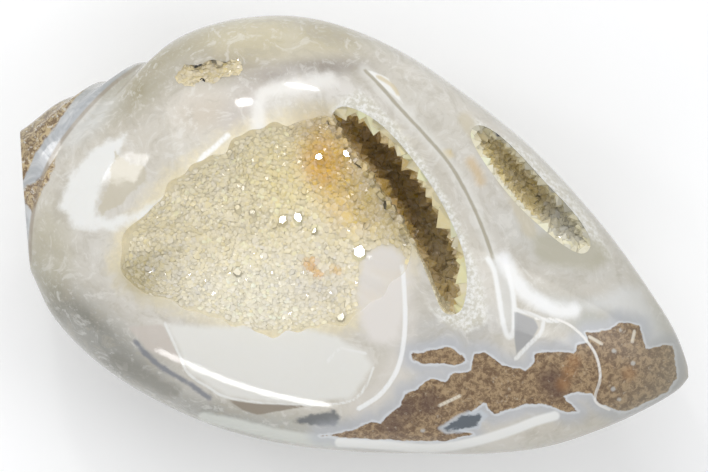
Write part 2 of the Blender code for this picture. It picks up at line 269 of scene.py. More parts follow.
AMBER_LINE = [(8.4, 11.9), (9.2, 11.2), (9.8, 10.4)]
SLAB = [
    (1.0, -0.9), (1.3, 0.2), (2.2, 1.2), (3.7, 1.4), (4.8, 0.9), (5.7, -1.3), (6.4, -4.2), (6.6, -6.8),
    (5.7, -8.1), (4.1, -8.1), (2.7, -6.4), (1.7, -4.6), (1.3, -2.7),
]
# Painted highlight: a pale streak of lamp glare along the lower edge of the shoulder band, laid into the
# colour
HIGHLIGHT_STREAK = [
    (-7.5, 15.5), (-10.2, 14.1), (-13.1, 12.5), (-13.5, 10.5), (-12.8, 8.1), (-13.5, 5.5), (-14.8, 3.8),
    (-16.7, 1.3), (-19.4, -1.7),
]
WALL_WEDGE = [(-4.7, 17.5), (-3.8, 17.7), (-2.1, 17.5), (-0.7, 16.4), (0.2, 15.4), (-1.0, 15.9), (-2.6, 16.6)]
YELLOW_WEDGE = [(-3.1, 17.3), (-1.5, 16.9), (-0.6, 16.2)]
# Facets that stand so that they flash in the light, as places in plan and widths
GLINT_NORMAL = (-0.206, 0.294, 0.934)
GLINTS = [
    (-8.8, 11.9, 0.8), (-6.3, 7.7, 0.8), (-3.4, 8.9, 0.8), (0.5, -0.2, 1.4), (-12.3, 0.7, 0.7),
    (-10.9, 0.5, 0.6), (-7.7, 0.5, 0.9), (-6.3, 1.3, 1.0), (-4.5, 0.4, 0.5), (-10.5, -5.6, 0.8),
    (0.8, -6.7, 0.8), (19.6, 5.9, 1.1), (22.0, 6.4, 1.1), (14.1, 8.6, 0.8),
]
AMBER_SPOT = [(5.2, 12.3), (6.2, 12.6), (6.7, 12.0), (6.1, 11.3), (5.3, 11.7)]

# Layers of colour on the face, laid in this order:
# name, "area" or "line", points, half width, softness, raggedness (mm), colour, strength
LAYERS = [
    # painted highlight wedge toward the anterior tip
    ("pale_wedge", "area", HIGHLIGHT_WEDGE, 0.0, 1.2, 0.3, (0.80, 0.81, 0.80), 0.7),
    # painted highlight on the left whorl
    ("white_patch", "area", HIGHLIGHT_PATCH, 0.0, 0.6, 0.8, (0.88, 0.88, 0.85), 0.9),
    ("beige_patch", "area", BEIGE_PATCH, 0.0, 0.25, 0.9, (0.60, 0.55, 0.43), 0.85),
    # painted highlight streak along the shoulder band
    ("veil_line", "line", HIGHLIGHT_STREAK, 0.15, 1.1, 0.5, (0.90, 0.88, 0.83), 0.8),
    ("spike", "line", SPIKE, 0.10, 0.35, 0.2, (0.95, 0.95, 0.93), 0.9),
    ("side_facet", "area", SIDE_FACET, 0.0, 0.3, 0.2, (0.63, 0.57, 0.51), 0.8),
    ("smear", "line", SMEAR, 0.35, 0.8, 0.5, (0.25, 0.24, 0.20), 0.75),
    ("dark_line", "line", DARK_LINE, 0.06, 0.35, 0.3, (0.22, 0.23, 0.26), 0.85),
    ("bar_inside", "line", REFLECTION_BAR, 0.6, 1.2, 0.2, (0.74, 0.70, 0.64), 0.6),
    # painted softbox reflection, and the painted highlight along its lower rim
    ("lens", "area", SOFTBOX_REFLECTION, 0.0, 0.55, 0.3, (0.83, 0.82, 0.77), 0.92),
    ("lens_edge", "line", SOFTBOX_REFLECTION[:9], 0.05, 0.16, 0.1, (0.88, 0.88, 0.85), 0.8),
    # painted highlight lines
    ("chevron", "line", CHEVRON_HIGHLIGHT, 0.05, 0.20, 0.1, (0.88, 0.87, 0.84), 0.8),
    ("brown_lens", "area", BROWN_LENS, 0.0, 0.14, 0.1, (0.30, 0.25, 0.19), 0.9),
    ("pocket", "area", POCKET, 0.0, 0.30, 0.5, (0.13, 0.14, 0.15), 0.85),
    # painted reflection bar
    ("bar", "line", REFLECTION_BAR, 0.10, 0.22, 0.1, (0.92, 0.92, 0.90), 0.95),
    ("edge_band", "line", EDGE_BAND, 0.35, 0.5, 0.2, (0.72, 0.74, 0.68), 0.8),
    ("slit_band", "area", SLIT_BAND, 0.0, 0.6, 0.5, (0.83, 0.81, 0.74), 0.92),
    ("outer_white", "area", OUTER_WHITE, 0.0, 0.5, 0.6, (0.78, 0.78, 0.72), 0.85),
    ("outer_yellow", "line", OUTER_YELLOW, 0.35, 0.7, 0.4, (0.62, 0.54, 0.36), 0.5),
    ("outer_low", "area", OUTER_LOW, 0.0, 0.9, 0.6, (0.50, 0.47, 0.36), 0.8),
    ("amber_line", "line", AMBER_LINE, 0.05, 0.9, 0.4, (0.70, 0.50, 0.24), 0.55),
    ("amber_spot", "area", AMBER_SPOT, 0.0, 0.4, 0.3, (0.68, 0.54, 0.26), 0.75),
    ("wall_side", "line", WALL, 0.20, 0.8, 0.2, (0.84, 0.83, 0.78), 0.5),
    ("wall_wedge", "area", WALL_WEDGE, 0.0, 0.14, 0.1, (0.93, 0.92, 0.88), 0.9),
    ("yellow_wedge", "line", YELLOW_WEDGE, 0.06, 0.25, 0.1, (0.70, 0.60, 0.40), 0.8),
    ("wall", "line", WALL, 0.08, 0.18, 0.08, (0.40, 0.36, 0.26), 0.8),
    ("finger_inside", "area", FINGER, 0.0, 0.2, 0.1, (0.66, 0.65, 0.61), 0.8),
    ("finger", "line", FINGER, 0.08, 0.32, 0.1, (0.91, 0.91, 0.89), 0.9),
    # painted highlight line toward the anterior tip
    ("bright_line", "line", HIGHLIGHT_LINE, 0.22, 1.0, 0.3, (0.95, 0.95, 0.94), 0.85),
]
CRUST_LAYERS = ("slit_band", "outer_white")


def curve_at(points, share):
    """Points at shares of the way along a Catmull-Rom curve."""
    points = np.asarray(points, float)
    last = len(points) - 1
    place = np.clip(share, 0.0, 1.0) * last
    i = np.minimum(place.astype(int), last - 1)
    t = (place - i)[:, None]
    before, a = points[np.maximum(i - 1, 0)], points[i]
    b, after = points[i + 1], points[np.minimum(i + 2, last)]
    return 0.5 * (
        2 * a + (b - before) * t + (2 * before - 5 * a + 4 * b - after) * t**2
        + (3 * a - before - 3 * b + after) * t**3
    )


def rim_radius(angle):
    """Radius of the dish's rim at angles, a smooth periodic curve."""
    radii = np.array(DISH_RIM_RADII)
    count = len(radii)
    place = (angle / math.tau) % 1.0 * count
    i = place.astype(int)
    t = place - i
    before, a, b, after = (radii[(i + k) % count] for k in (-1, 0, 1, 2))
    return 0.5 * (
        2 * a + (b - before) * t + (2 * before - 5 * a + 4 * b - after) * t**2
        + (3 * a - before - 3 * b + after) * t**3
    )


def rim_distance(points):
    """Distance in plan from the dish's rim, negative inside it."""
    off = points[:, :2] - np.array(DISH_CENTRE)
    return np.hypot(*off.T) - rim_radius(np.arctan2(off[:, 1], off[:, 0])) + DISH_WALL


def suture_groove(x, angle):
    """Share of the radius that the spiral suture takes away."""
    turn = ((math.pi - angle) / math.tau) % 1.0
    tilt = SUTURE_TILT_Y * np.cos(angle) + SUTURE_TILT_Z * np.sin(angle)
    groove = np.zeros_like(x)
    for whorl in range(WHORLS_UP):
        off = x - APEX_X - (SUTURE_START * SUTURE_GROWTH ** (turn - whorl) + tilt)
        width = np.where(off > 0, SUTURE_BODY_SIDE, SUTURE_SPIRE_SIDE)
        fade = np.minimum(1.0, (1.0 - turn) / 0.25) if whorl == 0 else 1.0
        groove = np.maximum(groove, fade * np.exp(-((off / width) ** 2)))
    return SUTURE_DEPTH * groove


def shell_points(share, angle):
    """Points of the uncut shell: share from the apex to the tip, angle from +Y over the top."""
    left = curve_at(OUTLINE_LEFT, share)
    right = curve_at(OUTLINE_RIGHT, share)
    centre = (left + right) / 2
    across = (left - right) / 2
    half_width = np.hypot(across[:, 0], across[:, 1])
    face = np.sin(angle) > 0
    power = np.where(face, 2 / FACE_FULLNESS, 1.0)
    rise = np.where(face, FACE_RISE, BACK_DROP)
    side = np.sign(np.cos(angle)) * np.abs(np.cos(angle)) ** power
    up = np.sign(np.sin(angle)) * np.abs(np.sin(angle)) ** power
    scale = 1 - suture_groove(centre[:, 0], angle)
    plan = centre + across * (side * scale)[:, None]
    return np.column_stack([plan, EQUATOR + rise * half_width * up * scale])


def coordinates(bm):
    return np.array([v.co for v in bm.verts])


def place_vertices(bm, points):
    for vertex, point in zip(bm.verts, points):
        vertex.co = point


def mesh_object(name, bm):
    """Mesh object in metres from a bmesh in mm."""
    bm.transform(Matrix.Scale(MM, 4))
    mesh = bpy.data.meshes.new(name)
    bm.to_mesh(mesh)
    bm.free()
    obj = bpy.data.objects.new(name, mesh)
    bpy.context.scene.collection.objects.link(obj)
    return obj


def shell_body():
    """Uncut shell with its two ground flats, finely divided on the polished face."""
    bm = bmesh.new()
    bmesh.ops.create_uvsphere(bm, u_segments=SHELL_SEGMENTS, v_segments=SHELL_RINGS, radius=1.0)
    points = coordinates(bm)
    along = np.arccos(np.clip(points[:, 2], -1, 1)) / math.pi
    round_ = (np.arctan2(points[:, 1], points[:, 0]) / math.tau) % 1.0
    angle = np.where(
        round_ < FACE_SHARE, math.pi * round_ / FACE_SHARE,
        math.pi * (1 + (round_ - FACE_SHARE) / (1 - FACE_SHARE)),
    )
    steps = np.linspace(0, 1, OUTLINE_STEPS)
    left, right = curve_at(OUTLINE_LEFT, steps), curve_at(OUTLINE_RIGHT, steps)
    walk = np.hypot(*np.diff(left, axis=0).T) + np.hypot(*np.diff(right, axis=0).T)
    length = np.concatenate([[0.0], np.cumsum(walk)])
    share = np.interp(along, length / length[-1], steps)
    shell = shell_points(share, angle)
    normal = np.array(SPIRE_CUT_NORMAL)
    past = np.maximum(0.0, (shell[:, :2] - np.array(SPIRE_CUT_POINT)) @ normal)
    shell[:, :2] -= past[:, None] * normal
    shell[:, 2] = np.maximum(shell[:, 2], 0.0)
    place_vertices(bm, shell)
    bmesh.ops.recalc_face_normals(bm, faces=bm.faces)
    return mesh_object("fossil_shell", bm)


def dish(name, face_height, detail):
    """Hollow of the main chamber's broad dish, which grades into the polished face."""
    bm = bmesh.new()
    bmesh.ops.create_icosphere(bm, subdivisions=detail, radius=1.0)
    x, y, z = coordinates(bm).T
    angle = np.arctan2(y, x)
    ragged = sum(size * np.sin(waves * angle + phase) for size, waves, phase in DISH_RAGGED)
    radius = rim_radius(angle) - DISH_WALL + ragged
    plan = np.array(DISH_CENTRE) + np.column_stack([x, y]) * radius[:, None]
    face = face_height(plan[:, 0], plan[:, 1]) + RIM_LIFT
    middle = face_height(*np.array([DISH_CENTRE]).T)[0]
    depth = middle - (DISH_RIM_HEIGHT - DISH_TILT * DISH_CENTRE[0] - DISH_DEPTH + DISH_WALL)
    height = face + np.where(z > 0, DISH_HEADROOM * z, -depth * np.abs(z) ** BOWL_POWER)
    off = np.hypot(*(plan - np.array(PIT_CENTRE)).T) / PIT_RADIUS
    height -= np.where(z < 0, PIT_DEPTH * np.exp(-(off**2)) * np.minimum(1.0, -3 * z), 0.0)
    place_vertices(bm, np.column_stack([plan, height]))
    bmesh.ops.recalc_face_normals(bm, faces=bm.faces)
    return mesh_object(name, bm)


def trench(name, line, half_width, depth, top, wall, detail, face_height=None):
    """Hollow of a narrow chamber, drawn out along a curved line.

    With a face height it is a shallow ragged bowl that grades into the face.
    """
    bm = bmesh.new()
    bmesh.ops.create_icosphere(bm, subdivisions=detail, radius=1.0)
    x, y, z = coordinates(bm).T
    share = (x + 1) / 2
    place = curve_at(line, share)
    ahead = curve_at(line, share + TANGENT_STEP) - curve_at(line, share - TANGENT_STEP)
    normal = np.column_stack([-ahead[:, 1], ahead[:, 0]])
    normal /= np.hypot(*normal.T)[:, None]
    near_end = np.abs(x) > TRENCH_END
    inner = np.where(near_end, 0.0, x)
    fuller = np.where(near_end, END_FULLNESS, ((1 - inner**6) / (1 - inner**2)) ** 0.25)
    plan = place + normal * (y * fuller * (half_width - wall))[:, None]
    height = top + np.where(z > 0, half_width, depth - wall) * z
    if face_height:
        swell = SHOULDER_SWELL * np.sin(SHOULDER_WAVES[0] * x) * y
        shift = SHOULDER_SHIFT * np.sin(SHOULDER_WAVES[1] * x)
        plan += normal * (swell + shift)[:, None]
        face = face_height(plan[:, 0], plan[:, 1]) + RIM_LIFT
        height = face + np.where(z > 0, half_width * z, -depth * np.abs(z) ** BOWL_POWER)
    place_vertices(bm, np.column_stack([plan, height]))
    bmesh.ops.recalc_face_normals(bm, faces=bm.faces)
    return mesh_object(name, bm)


def cut(target, tool):
    """Cuts a hollow out of the shell and drops the cutter."""
    modifier = target.modifiers.new("cut", "BOOLEAN")
    modifier.operation = "DIFFERENCE"
    modifier.solver = "EXACT"
    modifier.object = tool
    graph = bpy.context.evaluated_depsgraph_get()
    mesh = bpy.data.meshes.new_from_object(target.evaluated_get(graph))
    target.modifiers.clear()
    target.data = mesh
    bpy.data.objects.remove(tool, do_unlink=True)


def vertex_array(mesh):
    points = np.empty(len(mesh.vertices) * 3, np.float32)
    mesh.vertices.foreach_get("co", points)
    return points.reshape(-1, 3).astype(float) / MM


def segment_distance(points, line):
    """Distance from points in plan to an open line, and the side: positive on its left."""
    points = points[:, :2]
    line = np.asarray(line, float)
    best = np.full(len(points), np.inf)
    side = np.zeros(len(points))
    for a, b in zip(line[:-1], line[1:]):
        run = b - a
        share = np.clip(((points - a) @ run) / (run @ run), 0, 1)
        off = points - (a + share[:, None] * run)
        distance = np.hypot(*off.T)
        turn = run[0] * (points[:, 1] - a[1]) - run[1] * (points[:, 0] - a[0])
        nearer = distance < best - 1e-9
        best = np.where(nearer, distance, best)
        side = np.where(nearer, np.where(turn > 0, 1.0, -1.0), side)
    return best, side


def outline_distance(points, outline):
    """Signed distance to a closed outline in plan, positive inside."""
    closed = list(outline) + [outline[0]]
    distance, _ = segment_distance(points, closed)
    inside = np.zeros(len(points), bool)
    x, y = points[:, 0], points[:, 1]
    for (ax, ay), (bx, by) in zip(closed[:-1], closed[1:]):
        if ay == by:
            continue
        crosses = (ay > y) != (by > y)
        inside ^= crosses & (x < (bx - ax) * (y - ay) / (by - ay) + ax)
    return np.where(inside, distance, -distance)


def dense(points, count=60):
    """Smooth line through its points, as a row of close points."""
    return curve_at(points, np.linspace(0, 1, count))


def add_number(mesh, name, values):
    attribute = mesh.attributes.new(name, "FLOAT", "POINT")
    attribute.data.foreach_set("value", np.ascontiguousarray(values, np.float32))


def add_direction(mesh, name, values):
    attribute = mesh.attributes.new(name, "FLOAT_VECTOR", "POINT")
    attribute.data.foreach_set("vector", np.ascontiguousarray(values, np.float32).ravel())


def add_colour(mesh, name, colours):
    attribute = mesh.attributes.new(name, "FLOAT_COLOR", "POINT")
    rgba = np.column_stack([colours, np.ones(len(colours))]).astype(np.float32)
    attribute.data.foreach_set("color", rgba.ravel())


def blobs(points, start, patches):
    """Colour field: soft elliptical patches laid over a start colour in turn.

    Each patch is (centre, (radius along, radius across), heading in degrees, colour, strength).
    """
    colour = np.tile(np.array(start, float), (len(points), 1))
    for (cx, cy), (along, across), heading, tint, strength in patches:
        turn = math.radians(heading)
        dx, dy = points[:, 0] - cx, points[:, 1] - cy
        u = (dx * math.cos(turn) + dy * math.sin(turn)) / along
        v = (-dx * math.sin(turn) + dy * math.cos(turn)) / across
        weight = (strength * np.exp(-((u**2 + v**2) ** 1.5)))[:, None]
        colour = colour * (1 - weight) + np.array(tint) * weight
    return colour


# Chalcedony colours, linear
MILKY = (0.66, 0.62, 0.54)
SHELL_PATCHES = [
    ((-15.1, 17.8), (11.0, 3.0), 16, (0.60, 0.54, 0.37), 0.9),       # cream band at the shoulder
    ((-7.5, 20.5), (6.0, 1.6), 4, (0.42, 0.37, 0.24), 0.7),
    ((-24.9, 10.6), (7.5, 2.6), 56, (0.36, 0.32, 0.20), 0.9),        # grey-olive shoulder
    ((-27.6, -5.5), (3.8, 9.5), 30, (0.66, 0.63, 0.56), 0.7),        # milky left whorl
    ((-29.0, -10.8), (2.6, 6.5), 14, (0.50, 0.46, 0.33), 0.85),
    ((-20.5, -18.0), (11.0, 4.0), -24, (0.15, 0.15, 0.12), 1.0),     # grey-olive side, darkened toward the rim as painted shade
    # painted shade along the lower rim, over the side's grey tone
    ((-9.8, -20.9), (10.0, 2.4), 0, (0.22, 0.22, 0.19), 0.9),
    ((0.1, -18.8), (12.0, 1.6), 12, (0.42, 0.42, 0.38), 0.7),
    ((-18.8, 13.0), (4.8, 1.7), 26, (0.40, 0.34, 0.22), 0.75),       # brown veil round the shoulder druse
    ((-18.6, 8.9), (3.2, 2.2), 18, (0.60, 0.52, 0.41), 0.7),
    ((-10.2, 15.5), (7.0, 1.3), 24, (0.27, 0.23, 0.19), 0.9),        # mauve-grey band
    ((-14.6, 9.6), (2.4, 4.0), -2, (0.56, 0.51, 0.46), 0.8),
    ((-10.4, 12.0), (2.0, 3.4), -12, (0.76, 0.73, 0.67), 0.7),       # white veil
    ((-5.7, 14.8), (6.0, 1.4), 0, (0.80, 0.77, 0.72), 0.75),
    ((-8.1, 11.4), (2.4, 1.5), -2, (0.44, 0.38, 0.26), 0.8),         # brown veil above the druse
    ((4.3, 14.5), (8.5, 2.2), -28, (0.68, 0.65, 0.58), 0.7),
    ((12.7, 7.7), (2.6, 6.0), 50, (0.66, 0.63, 0.57), 0.7),
    ((19.5, 6.2), (7.0, 2.6), -8, (0.62, 0.62, 0.58), 0.6),
    ((11.4, -4.7), (6.0, 2.2), 28, (0.48, 0.47, 0.44), 0.8),         # grey rim above the sediment
    ((24.5, 0.4), (6.0, 2.0), -2, (0.42, 0.42, 0.37), 0.8),
    ((32.1, 1.3), (3.0, 3.0), 18, (0.52, 0.53, 0.49), 0.6),
    ((-29.2, 4.5), (4.0, 1.4), 62, (0.72, 0.73, 0.72), 0.6),
]
# Crystal colours, linear
CREAM = (0.87, 0.77, 0.52)
CRYSTAL_PATCHES = [
    ((-18.7, -9.0), (4.8, 3.4), 28, (0.60, 0.53, 0.34), 0.85),       # deeper left end of the dish
    ((-19.5, -9.2), (2.4, 1.6), 28, (0.44, 0.37, 0.19), 0.75),
    ((-15.1, -8.9), (4.0, 3.0), 18, (0.66, 0.60, 0.46), 0.5),
    ((-8.5, 5.2), (4.5, 4.0), -12, (0.88, 0.74, 0.38), 0.8),
    ((-6.8, 11.5), (4.5, 2.4), -8, (0.60, 0.52, 0.34), 0.8),
    ((-7.6, -7.6), (9.0, 4.5), 18, (0.90, 0.85, 0.69), 0.7),         # whiter lower edge
    ((-2.3, -4.4), (3.5, 3.0), 18, (0.70, 0.64, 0.52), 0.6),
    ((-4.5, 7.5), (3.0, 4.8), 48, (0.74, 0.42, 0.04), 0.8),          # orange stain
    ((-5.7, 7.2), (2.0, 2.2), 48, (0.76, 0.38, 0.02), 0.6),
    ((-1.7, 4.2), (3.0, 2.6), -12, (0.80, 0.54, 0.14), 0.6),
    ((1.5, 5.2), (6.2, 3.0), -28, (0.50, 0.38, 0.15), 0.85),         # olive slope above the slit, partly painted shade where it falls toward the slit
    ((-19.3, 12.6), (5.0, 2.4), 26, (0.66, 0.55, 0.32), 0.9),        # brown shoulder hollow
    ((-3.9, -2.7), (0.7, 0.6), 0, (0.80, 0.42, 0.06), 0.85),
    ((-2.9, -3.3), (0.6, 0.5), 0, (0.80, 0.45, 0.10), 0.8),
    ((-1.3, -2.5), (0.7, 0.5), 0, (0.78, 0.46, 0.10), 0.6),
]
# Crystal colours of the slit and the outer hollow, pale at the rim and darker with depth: partly the
# crystals' own brown, partly painted shade of the deep hollows
SLIT_RIM = (0.93, 0.82, 0.50)
SLIT_UPPER = (0.66, 0.44, 0.14)
SLIT_LOWER = (0.78, 0.60, 0.30)
OUTER_RIM = (0.86, 0.80, 0.58)
OUTER_DEEP = (0.80, 0.65, 0.32)
OUTER_PALE = (0.74, 0.70, 0.56)
SLAB_TINT = (0.80, 0.76, 0.71)


def smooth_step(values, low, high):
    t = np.clip((values - low) / (high - low), 0, 1)
    return t * t * (3 - 2 * t)


def mark_shell(obj, on_wall, face_height):
    """Writes the colour fields and the zone distances on the shell's vertices."""
    mesh = obj.data
    points = vertex_array(mesh)
    depth = face_height(points[:, 0], points[:, 1]) - points[:, 2]
    in_slit, in_outer = hollow_masks(points, depth)
    add_colour(mesh, "tint", blobs(points, MILKY, SHELL_PATCHES))
    add_colour(mesh, "druse_tint", crystal_colours(points, depth, in_slit, in_outer))
    add_number(mesh, "depth", np.where(on_wall, depth, 0.0))
    add_number(mesh, "height", points[:, 2])
    add_number(mesh, "rim", rim_distance(points))
    for name, kind, outline, *_ in LAYERS:
        if kind == "area":
            add_number(mesh, name, outline_distance(points, outline))
        else:
            add_number(mesh, name, segment_distance(points, dense(outline))[0])
    sediment = np.maximum(outline_distance(points, SEDIMENT), outline_distance(points, SEDIMENT_ISLAND))
    add_number(mesh, "sediment", sediment)
    areas = {"panel": PANEL, "blue_pocket": BLUE_POCKET, "gold_patch": GOLD_PATCH, "slab": SLAB}
    for name, outline in areas.items():
        add_number(mesh, name, outline_distance(points, outline))
    veins = [segment_distance(points, dense(line))[0] for line in (VEIN, VEIN_ACROSS)]
    add_number(mesh, "veins", np.minimum(*veins))
    add_number(mesh, "arc", segment_distance(points, dense(ARC))[0])
    add_number(mesh, "strip_reflection", segment_distance(points, dense(STRIP_REFLECTION))[0])
    needles = [segment_distance(points, line)[0] for line in NEEDLES]
    add_number(mesh, "needles", np.min(needles, axis=0))
    for name, spots in {"inclusions": INCLUSIONS, "dark_mud": DARK_MUD, "rust": RUST}.items():
        add_number(mesh, name, np.min([np.hypot(*(points[:, :2] - spot).T) for spot in spots], axis=0))
    for name, line in {"suture": SUTURE, "spire_edge": SPIRE_EDGE}.items():
        distance, side = segment_distance(points, dense(line))
        add_number(mesh, name, distance * side)


def hollow_masks(points, depth):
    """Which points belong to the slit and which to the outer hollow."""
    slit_off, slit_side = segment_distance(points, dense(SLIT_LINE))
    outer_off, _ = segment_distance(points, dense(OUTER_LINE))
    in_slit = (slit_off < SLIT_HALF_WIDTH) & ((depth > SLIT_FLOOR) | (slit_side > 0))
    return in_slit, outer_off < OUTER_HALF_WIDTH + OUTER_MARGIN


class Height:
    """Height of the uncut polished face over the plan, read from a fine grid."""

    def __init__(self, obj):
        self.step = GRID_STEP
        self.low = np.array(GRID_CORNER)
        count = np.array(GRID_COUNT)
        tree = BVHTree.FromObject(obj, bpy.context.evaluated_depsgraph_get())
        self.grid = np.full(count, np.nan)
        down = Vector((0, 0, -1))
        for i in range(count[0]):
            for j in range(count[1]):
                x, y = self.low + self.step * np.array([i, j])
                hit = tree.ray_cast(Vector((x * MM, y * MM, RAY_START * MM)), down)[0]
                if hit is not None:
                    self.grid[i, j] = hit.z / MM
        self.grid = np.where(np.isnan(self.grid), EQUATOR, self.grid)

    def __call__(self, x, y):
        place = (np.column_stack([x, y]) - self.low) / self.step
        place = np.clip(place, 0, np.array(self.grid.shape) - 1.001)
        i, j = place.astype(int).T
        u, v = (place - place.astype(int)).T
        g = self.grid
        return (g[i, j] * (1 - u) * (1 - v) + g[i + 1, j] * u * (1 - v)
                + g[i, j + 1] * (1 - u) * v + g[i + 1, j + 1] * u * v)


def wall_vertices(obj, whole):
    """Which vertices of the cut shell lie on the walls of its hollows."""
    tree = BVHTree.FromObject(whole, bpy.context.evaluated_depsgraph_get())
    points = vertex_array(obj.data)
    return np.array([
        p[2] > HOLLOW_FLOOR and tree.find_nearest(Vector(p * MM))[3] > WALL_GAP * MM for p in points
    ])


def wall_samples(obj, on_wall, count, rng):
    """Random places and normals on the walls of the hollows."""
    mesh = obj.data
    mesh.calc_loop_triangles()
    corners = np.empty(len(mesh.loop_triangles) * 3, np.int32)
    mesh.loop_triangles.foreach_get("vertices", corners)
    corners = corners.reshape(-1, 3)
    points = vertex_array(mesh)
    corners = corners[on_wall[corners].sum(axis=1) >= 2]
    a, b, c = (points[corners[:, k]] for k in range(3))
    cross = np.cross(b - a, c - a)
    area = np.linalg.norm(cross, axis=1)
    keep = area > 1e-9
    a, b, c, cross, area = a[keep], b[keep], c[keep], cross[keep], area[keep]
    pick = rng.choice(len(area), size=count, p=area / area.sum())
    u, v = rng.random(count), rng.random(count)
    flip = u + v > 1
    u, v = np.where(flip, 1 - u, u), np.where(flip, 1 - v, v)
    place = a[pick] + (b - a)[pick] * u[:, None] + (c - a)[pick] * v[:, None]
    return place, cross[pick] / area[pick][:, None]


def spread(points, spacing):
    """Indices of points that keep their spacing from the ones taken before them."""
    cell = float(spacing.max())
    around = [(i, j, k) for i in (-1, 0, 1) for j in (-1, 0, 1) for k in (-1, 0, 1)]
    taken = {}
    kept = []
    for index, (point, reach) in enumerate(zip(points, spacing)):
        x, y, z = (point // cell).astype(int).tolist()
        near = (other for i, j, k in around for other in taken.get((x + i, y + j, z + k), ()))
        gaps = (point - points[other] for other in near)
        if all(gap @ gap >= reach * reach for gap in gaps):
            taken.setdefault((x, y, z), []).append(index)
            kept.append(index)
    return np.array(kept)


def crystal_mesh(name, base, wall, axis, radius, height, colours, flat, face_height, rng):
    """Joined six-sided quartz crystals with offset tips, ground flush with the face."""
    count = len(base)
    helper = np.where(np.abs(axis[:, 2:3]) < 0.9, np.array([[0, 0, 1.0]]), np.array([[1.0, 0, 0]]))
    side = np.cross(axis, helper)
    side /= np.linalg.norm(side, axis=1)[:, None]
    other = np.cross(axis, side)
    spin = rng.random(count) * math.tau
    points = np.empty((count, 13, 3))
    shoulder = np.where(flat, 1.0, rng.uniform(-CORNER_RANGE, CORNER_RANGE, count))
    width = np.where(flat, GLINT_WIDTH, 1.0)
    for k in range(6):
        angle = spin + k * math.tau / 6
        out = side * np.cos(angle)[:, None] + other * np.sin(angle)[:, None]
        step = CORNER_STEP if k % 2 else -CORNER_STEP
        uneven = 1 + np.where(flat, 0.0, step + rng.uniform(-CORNER_NOISE, CORNER_NOISE, count))
        points[:, k] = base + out * radius[:, None] * ROOT_WIDTH - axis * ROOT
        reach = radius * width * np.where(flat, rng.uniform(*GLINT_RANGE, count), 1.0)
        points[:, 6 + k] = base + out * reach[:, None] + axis * (height * shoulder * uneven)[:, None]
    lean = side * rng.normal(0, TIP_LEAN, count)[:, None] + other * rng.normal(0, TIP_LEAN, count)[:, None]
    lean[flat] = 0.0
    points[:, 12] = base + axis * height[:, None] + lean * radius[:, None]
    flush = points.reshape(-1, 3)
    flush[:, 2] = np.minimum(flush[:, 2], face_height(flush[:, 0], flush[:, 1]) - FLUSH)
    sides = [(k, (k + 1) % 6, 6 + (k + 1) % 6, 6 + k) for k in range(6)]
    tips = [(6 + k, 6 + (k + 1) % 6, 12) for k in range(6)]
    pattern = sides + tips + [(5, 4, 3, 2, 1, 0)]
    faces = [tuple(13 * n + k for k in face) for n in range(count) for face in pattern]
    mesh = bpy.data.meshes.new(name)
    mesh.from_pydata((flush * MM).tolist(), [], faces)
    add_colour(mesh, "tint", np.repeat(colours, 13, axis=0))
    lifted = wall + np.array([0.0, 0.0, WALL_LIFT])
    lifted /= np.linalg.norm(lifted, axis=1)[:, None]
    add_direction(mesh, "wall", np.repeat(lifted, 13, axis=0))
    obj = bpy.data.objects.new(name, mesh)
    bpy.context.scene.collection.objects.link(obj)
    return obj


def crystal_colours(points, depth, in_slit, in_outer):
    """Colour of crystals from where they grew and how deep; in the slit and the outer hollow they darken with
    depth, partly their own brown and partly painted shade.
    """
    colour = blobs(points, CREAM, CRYSTAL_PATCHES)
    # painted shade in part: crystals darken toward the bottom of the hollows
    down = smooth_step(depth, 0.5, 3.2)[:, None]
    upper = smooth_step(points[:, 0], 10.0, 2.0)[:, None]
    deep = np.array(SLIT_LOWER) * (1 - upper) + np.array(SLIT_UPPER) * upper
    slit = np.array(SLIT_RIM) * (1 - down) + deep * down
    low = smooth_step(points[:, 0], 15.0, 19.0)[:, None]
    outer_deep = np.array(OUTER_DEEP) * (1 - low) + np.array(OUTER_PALE) * low
    outer = np.array(OUTER_RIM) * (1 - down) + outer_deep * down
    colour = np.where(in_slit[:, None], slit, colour)
    return np.where(in_outer[:, None], outer, colour)


def crystal_sizes(points, depth, in_slit, in_outer):
    """Spacing of the crystals: large along the slit's right rim, fine in the dish."""
    off = np.hypot(points[:, 0] - SLOPE_CENTRE[0], points[:, 1] - SLOPE_CENTRE[1])
    fine = DISH_CRYSTAL + (SLOPE_CRYSTAL - DISH_CRYSTAL) * np.exp(-((off / SLOPE_RADIUS) ** 2))
    shallow = smooth_step(depth, 4.0, 2.0)
    slit = SLIT_CRYSTAL + (RIM_CRYSTAL - SLIT_CRYSTAL) * shallow
    return np.where(in_slit, slit, np.where(in_outer, OUTER_CRYSTAL, fine))


def vary(colour, rng):
    """Gives each crystal its own tone."""
    tone = rng.normal(1.0, 0.055, len(colour))[:, None]
    warm = rng.normal(0.0, 0.03, len(colour))[:, None] * np.array([0.3, 0.0, -1.0])
    return np.clip(colour * tone + warm, 0.02, 0.92)


# Materials
BODY_SMOOTHING = 0.85
STONE_TONE = 0.87
QUARTZ_IOR = 1.54


def material(name):
    made = bpy.data.materials.new(name)
    made.use_nodes = True
    return made, made.node_tree, made.node_tree.nodes["Principled BSDF"]


def node(tree, kind, **settings):
    made = tree.nodes.new(kind)
    for key, value in settings.items():
        if key in made.inputs:
            made.inputs[key].default_value = value
        else:
            setattr(made, key, value)
    return made


def attribute(tree, name):
    return node(tree, "ShaderNodeAttribute", attribute_name=name)


def number(tree, name):
    return attribute(tree, name).outputs["Fac"]


def arithmetic(tree, operation, a, b):
    made = node(tree, "ShaderNodeMath", operation=operation)
    for socket, value in zip(made.inputs, (a, b)):
        if isinstance(value, (int, float)):
            socket.default_value = value
        else:
            tree.links.new(value, socket)
    return made.outputs[0]


